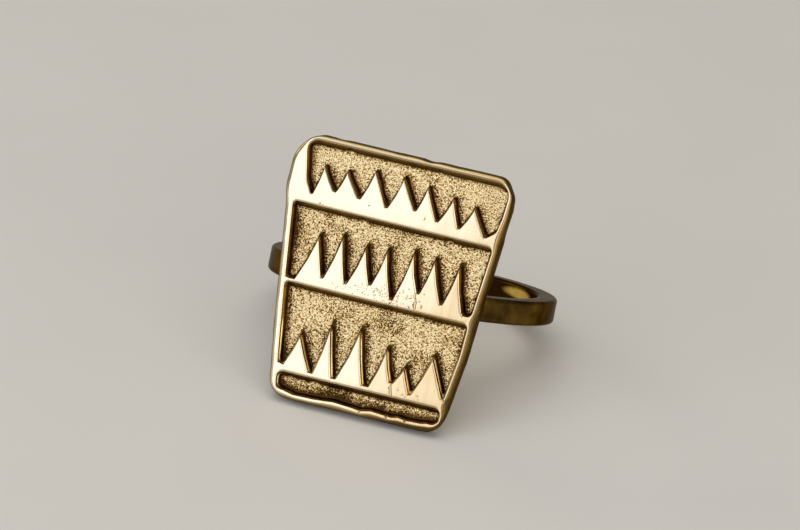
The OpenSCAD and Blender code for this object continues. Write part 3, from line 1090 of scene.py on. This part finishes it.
def cast_brass_plate():
    """Cast brass, polished on its raised face and left with a dark finish in
    its sunk parts: a bright, nearly mirror-like face with faint polishing
    streaks, dark brown walls with a painted gold highlight line, and a sandy
    matt ground with dark specks. Painted shade darkens the face toward its
    right end and the lower edges of the bars, the ground near the walls and
    the pits and creases, and painted reflections tint the rounded edge and
    the walls under the bars. The sides keep a brown skin with file marks
    along them, painted darker as shade. Its patterns lie in the plate's
    frame, in millimetres."""
    material, tree, _ = new_material("cast_brass_polished_face_dark_ground_painted_shade")
    names = ("recess", "patina_and_painted_shade", "painted_shade_and_patches", "painted_gleam", "scar_shade", "grain", "side", "lift", "edge_shade", "back")
    given = {
        name: put(tree, "Attribute", attribute_name=name).outputs["Fac"] for name in names
    }
    at = put(tree, "Attribute", attribute_name="flat_place").outputs["Vector"]
    face, streaks, clouds, rightward = polished_face(tree, at, given["edge_shade"])
    ground, grit = sandy_ground(tree, at, given)
    sides, marks = filed_sides(tree, at)
    back, sanding = sanded_back(tree, at, clouds)
    # walls: brown under the dark finish, with the painted gold highlight
    wall = coated(tree, "#553c1b", (given["painted_gleam"], "#ffe19a"))
    at_wall = put(tree, "MapRange", {
        "Value": given["recess"], "From Min": 0.0, "From Max": 0.05,
    }, **SOFT_ENDS)
    at_ground = put(tree, "MapRange", {"Value": given["recess"], "From Min": 0.85, "From Max": 1.0})
    # painted reflection: the rounded edge turns from the polish to a tan gold
    # before the brown as it turns from the face, and painted shade makes it turn
    # soonest and deepest at the right end
    right_end_shade = put(tree, "MapRange", {"Value": rightward, "From Min": 0.2, "From Max": 0.4})
    sooner = put(tree, "MapRange", {"Value": right_end_shade, "To Min": 1.0, "To Max": 2.2})
    turned = put(tree, "Math", {0: given["side"], 1: sooner}, operation="MULTIPLY")
    to_tan = put(tree, "MapRange", {"Value": turned, "From Max": 0.4})
    to_brown = put(tree, "MapRange", {"Value": turned, "From Min": 0.5, "From Max": 0.95})
    tan_gold = coated(tree, "#917640", (right_end_shade, "#5e4b28"))
    # painted shade: the pits, creases and pores are darkened inside
    tone = coated(
        tree, face, (to_tan, tan_gold), (to_brown, sides), (given["back"], back),
        (given["scar_shade"], "#54401c"), (at_wall, wall), (at_ground, ground),
    )

    rough = put(tree, "MapRange", {"Value": given["grain"], "To Min": 0.17, "To Max": 0.36})
    rough = summed(tree, rough, (given["patina_and_painted_shade"], 0.2), (given["side"], 0.18))
    gritty = put(tree, "Math", {0: grit, 1: given["grain"]}, operation="MULTIPLY")
    tooled = put(tree, "Mix", {"Factor": given["back"], "A": marks, "B": sanding}, data_type="FLOAT")
    tooled = put(tree, "Math", {0: tooled, 1: given["side"]}, operation="MULTIPLY")
    relief = put(tree, "Bump", {"Strength": 0.1, "Distance": 0.02 * MM, "Height": streaks})
    for strength, deep, height in ((0.8, 0.05 * MM, gritty), (0.3, 0.04 * MM, tooled)):
        relief = put(tree, "Bump", {
            "Strength": strength, "Distance": deep, "Height": height, "Normal": relief,
        })
    bare_metal(tree, tone, rough, relief, coated(tree, "#a09a90", (given["back"], "#d8bd82")))
    return material


def drawn_brass_band():
    """Drawn brass strip, bent, filed and worn: a deep olive brown tarnish
    outside, painted darker as shade, with lighter worn patches and fine
    scratches along it, and a warm gold bore that the finger keeps bright but
    for a painted shade on its right, round a painted highlight spot."""
    material, tree, place = new_material("drawn_brass_worn_tarnished_painted_shade")
    bore = put(tree, "Attribute", attribute_name="bore").outputs["Fac"]
    stain = mottled(tree, place, 3.75 * MM)
    # scratches run round the finger, 3 mm long and 0.19 mm wide across it
    scratches = drawn_out(tree, place, (3.15 * MM, 3.15 * MM, 0.1853 * MM), 3.0)
    # the finger keeps the bore bright; on its right lies a painted shade, a dark
    # film round a painted highlight: a long bright spot, narrow across the band
    spot = (6.8 * MM, 7.6 * MM, 2.8 * MM)
    from_spot = put(tree, "VectorMath", {0: place, 1: spot}, operation="DISTANCE")
    painted_shade_end = put(tree, "MapRange", {
        "Value": from_spot, "From Min": 4.8 * MM, "From Max": 7.5 * MM,
    }, **SOFT_ENDS)
    along_band = put(tree, "Mapping", {
        "Vector": place, "Location": spot, "Rotation": (-LEAN, 0.0, 0.0), "Scale": (1.3, 1.3, 0.25),
    }, vector_type="TEXTURE")
    painted_glint_and_shade = put(tree, "MapRange", {
        "Value": put(tree, "VectorMath", {0: along_band}, operation="LENGTH"),
        "From Min": 0.8 * MM, "From Max": 2.1 * MM,
    }, **SOFT_ENDS)
    painted_glint_and_shade = put(tree, "Math", {0: stain, 1: 0.2, 2: painted_glint_and_shade}, operation="MULTIPLY_ADD", use_clamp=True)
    # painted shade: the tarnish outside is made darker, for the shade the band lies in
    outside = coated(tree, "#705626", (stain, "#3b2a12"))
    kept_bright = coated(tree, "#eec46c", (stain, "#a87c34"))
    inside_tone = coated(tree, "#ffe27c", (painted_glint_and_shade, "#3c250c"), (painted_shade_end, kept_bright))
    tone = coated(tree, outside, (bore, inside_tone))
    rough = put(tree, "MapRange", {"Value": painted_glint_and_shade, "To Min": 0.42, "To Max": 0.3})
    relief = put(tree, "Bump", {"Strength": 0.15, "Distance": 0.02 * MM, "Height": scratches})
    bare_metal(tree, tone, rough, relief, "#bcb6ae")
    return material


def flowed_brass_solder():
    """Brass solder that flowed into the joint and set: a duller yellow
    than the brass, smooth, with a faint mottle and a little brown flux stain."""
    material, tree, place = new_material("brass_solder_flowed_and_stained")
    mottle = mottled(tree, place, 1.75 * MM)
    tone = coated(tree, "#b99c60", (mottle, "#80652f"))
    rough = put(tree, "MapRange", {"Value": mottle, "To Min": 0.26, "To Max": 0.42})
    relief = put(tree, "Bump", {"Strength": 0.3, "Distance": 0.04 * MM, "Height": mottle})
    bare_metal(tree, tone, rough, relief, "#b0a8a0")
    return material


def pale_floor():
    """Plain painted board, matt and pale, in faint clouds 26 mm wide."""
    material, tree, place = new_material("painted_board_matt_pale")
    cloud = put(tree, "TexNoise", {"Vector": place, "Scale": scale_of(26.25 * MM), "Detail": 2.0})
    tone = coated(tree, "#e2e0dc", (cloud, "#e8e6e2"))
    skin = put(tree, "BsdfPrincipled", {"Base Color": tone, "Roughness": 0.8})
    put(tree, "OutputMaterial", {"Surface": skin})
    return material


# pieces

def plate_piece():
    """The plate, dressed from the outlines of its solid."""
    points, faces, shares = plate_mesh(*shape_outlines(*read_plate(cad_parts["ring"])))
    plate = new_object("ring_plate", to_row(points), faces, shares, points)
    bake(plate, stipple_tree(), {
        "Face direction": FACE_WAY, "Grain width": 0.15 * MM, "Grain height": 0.03 * MM,
        "Wave length": 3.0 * MM, "Wave height": 0.03 * MM,
        "Seed": 4.0, "Material": cast_brass_plate(),
    })
    return plate


def shank_piece():
    """The finger's band, made flat and then set upright behind the plate."""
    band = new_object("ring_shank", [(0, 0, 0)], [])
    bake(band, band_tree(), {
        "Inner radius": BORE_RADIUS * MM, "Thickness": SHANK_THICKNESS * MM,
        "Width": SHANK_WIDTH * MM, "Edge rounding": SHANK_ROUNDING * MM,
        "Steps round": 300, "Section step": 0.11 * MM,
        "Wear length": 2.5 * MM, "Wear depth": 0.03 * MM, "Material": drawn_brass_band(),
    })
    x, y, z = np.array([v.co for v in band.data.vertices]).T / MM
    # the circle's axis becomes the upright of the plate, turned a little
    on_plate = to_row(tilted(np.column_stack([x, z, -y + SHANK_CENTRE])))
    band.data.vertices.foreach_set("co", on_plate.astype(np.float32).ravel())
    band.data.update()
    shown = bmesh.new()
    shown.from_mesh(band.data)
    bmesh.ops.recalc_face_normals(shown, faces=shown.faces)
    shown.to_mesh(band.data)
    shown.free()
    return band


def solder_piece():
    """The seam of solder that joins the plate and the band."""
    solder = new_object("ring_solder", *solder_mesh())
    solder.data.materials.append(flowed_brass_solder())
    return solder


for piece in (plate_piece(), shank_piece(), solder_piece()):
    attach(piece, "root")
    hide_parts("ring")


# floor, light, camera

def soft_light(name, azimuth, elevation, distance, width, height, power, colour):
    """A soft box that looks at the ring."""
    a, e = math.radians(azimuth), math.radians(elevation)
    lamp = bpy.data.lights.new(name, "AREA")
    lamp.shape = "RECTANGLE"
    lamp.size, lamp.size_y = width, height
    lamp.energy = power
    lamp.color = linear(colour)[:3]
    made = bpy.data.objects.new(name, lamp)
    bpy.context.scene.collection.objects.link(made)
    aim = Vector((math.sin(a) * math.cos(e), -math.cos(a) * math.cos(e), math.sin(e)))
    made.location = Vector(RING_MIDDLE) + aim * distance
    made.rotation_mode = "QUATERNION"
    made.rotation_quaternion = aim.to_track_quat("Z", "Y")


def plate_camera():
    """The camera of the photo's view, set in the plate's frame."""
    across, up, roll = [math.radians(a) for a in (CAMERA_ACROSS, CAMERA_UP, CAMERA_ROLL)]
    away = Vector((math.sin(across) * math.cos(up), math.sin(up), math.cos(across) * math.cos(up)))
    right = (-away).cross(Vector((0, 1, 0))).normalized()
    top = right.cross(-away)
    right, top = (
        math.cos(roll) * right + math.sin(roll) * top,
        math.cos(roll) * top - math.sin(roll) * right,
    )
    stand = Vector(CAMERA_AIM) + away * CAMERA_DISTANCE
    leaned = Matrix(((1, 0, 0), (0, LEAN_SIN, -LEAN_COS), (0, LEAN_COS, LEAN_SIN)))
    camera = bpy.data.objects.new("camera", bpy.data.cameras.new("camera"))
    bpy.context.scene.collection.objects.link(camera)
    camera.data.sensor_width = SENSOR_WIDTH
    camera.data.lens = SENSOR_WIDTH * FOCAL_PIXELS / PICTURE_PIXELS
    camera.data.clip_start, camera.data.clip_end = 0.01, 10
    spin = Matrix([leaned @ right, leaned @ top, leaned @ away]).transposed()
    camera.matrix_world = Matrix.Translation(Vector(to_row([stand[:]])[0])) @ spin.to_4x4()
    return camera


bpy.ops.mesh.primitive_plane_add(size=FLOOR_WIDTH, location=(0, 0, cad_box[0][2]))
floor = bpy.context.object
floor.name = "floor"
floor.data.materials.append(pale_floor())

world = bpy.data.worlds.new("studio")
world.use_nodes = True
surround = world.node_tree.nodes["Background"].inputs
surround["Color"].default_value = linear(SURROUND[0])
surround["Strength"].default_value = SURROUND[1]
bpy.context.scene.world = world
bpy.context.scene.view_settings.view_transform = "Standard"
for box in SOFT_BOXES:
    soft_light(*box)
bpy.context.scene.camera = plate_camera()
